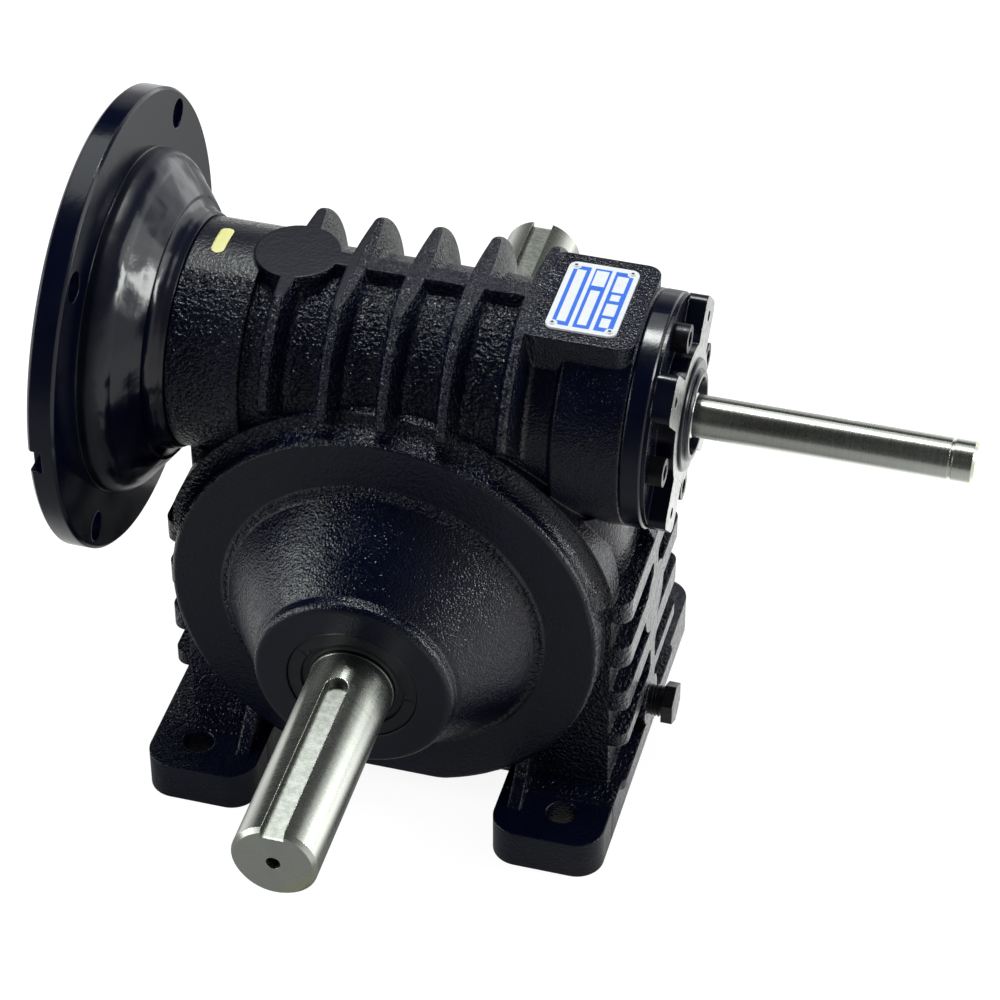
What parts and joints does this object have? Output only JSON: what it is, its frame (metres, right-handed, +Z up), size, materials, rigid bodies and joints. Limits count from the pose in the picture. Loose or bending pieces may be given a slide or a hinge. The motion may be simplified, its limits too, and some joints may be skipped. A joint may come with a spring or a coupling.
{
  "type": "worm gear reducer",
  "caption": "Foot-mounted right-angle worm reducer: finned cast housing, round motor flange with hollow input, keyed through output shaft and an input extension shaft.",
  "frame": {"origin": "centre of the four foot holes, on the ground plane under the output shaft", "axes": "+X along the worm towards the input extension shaft, +Y along the output shaft towards the screwed cover, +Z up"},
  "size_m": [0.3092, 0.346, 0.2426],
  "materials": {
    "black_casting": "black enamel on a rough casting, smooth on turned faces",
    "gasket": "pressed fibre sheet",
    "seal_rubber": "satin",
    "shaft_steel": "ground",
    "bearing_steel": "polished",
    "bronze": "machined",
    "hub_iron": "machined",
    "black_steel": "black oxide",
    "plate": "printed white and blue, blank fields"
  },
  "bodies": {
    "casing": {"housing": "black_casting", "motor_flange": "black_casting", "output_cover": "black_casting", "cover_gasket": "gasket", "bearing_disc": "black_casting", "end_cover": "black_casting", "drain_plug": "black_steel", "fill_plug": "black_steel", "name_plate": "plate", "front_output_seal": "seal_rubber", "back_output_seal": "seal_rubber", "motor_side_seal": "seal_rubber", "input_seal": "seal_rubber", "front_bearing_outer_ring": "bearing_steel", "back_bearing_outer_ring": "bearing_steel", "motor_bearing_outer_ring": "bearing_steel", "input_bearing_outer_ring": "bearing_steel", "front_bearing_balls": "bearing_steel", "back_bearing_balls": "bearing_steel", "motor_bearing_balls": "bearing_steel", "input_bearing_balls": "bearing_steel", "back_screw_1": "black_steel", "back_screw_2": "black_steel", "back_screw_3": "black_steel", "back_screw_4": "black_steel", "back_screw_5": "black_steel", "back_screw_6": "black_steel", "back_screw_7": "black_steel", "back_screw_8": "black_steel", "end_cover_screw_1": "black_steel", "end_cover_screw_2": "black_steel", "end_cover_screw_3": "black_steel", "end_cover_screw_4": "black_steel", "bell_screw_1": "black_steel", "bell_screw_2": "black_steel", "bell_screw_3": "black_steel", "bell_screw_4": "black_steel"},
    "worm": {"worm_shaft": "shaft_steel", "motor_bearing_inner_ring": "bearing_steel", "input_bearing_inner_ring": "bearing_steel", "snap_ring": "shaft_steel"},
    "output": {"output_shaft": "shaft_steel", "wheel_key": "shaft_steel", "wheel_hub": "hub_iron", "wheel_rim": "bronze", "spacer_front": "shaft_steel", "spacer_back": "shaft_steel", "front_bearing_inner_ring": "bearing_steel", "back_bearing_inner_ring": "bearing_steel"}
  },
  "joints": [
    {"name": "worm_spin", "type": "hinge", "parent": "casing", "child": "worm", "pos_m": [0, 0, 0.16], "axis": [1, 0, 0], "continuous": true},
    {"name": "output_spin", "type": "hinge", "parent": "casing", "child": "output", "pos_m": [0, 0, 0.086], "axis": [0, 1, 0], "continuous": true}
  ],
  "couplings": [
    {"joint": "output_spin", "follows": "worm_spin", "ratio": -0.033333}
  ]
}
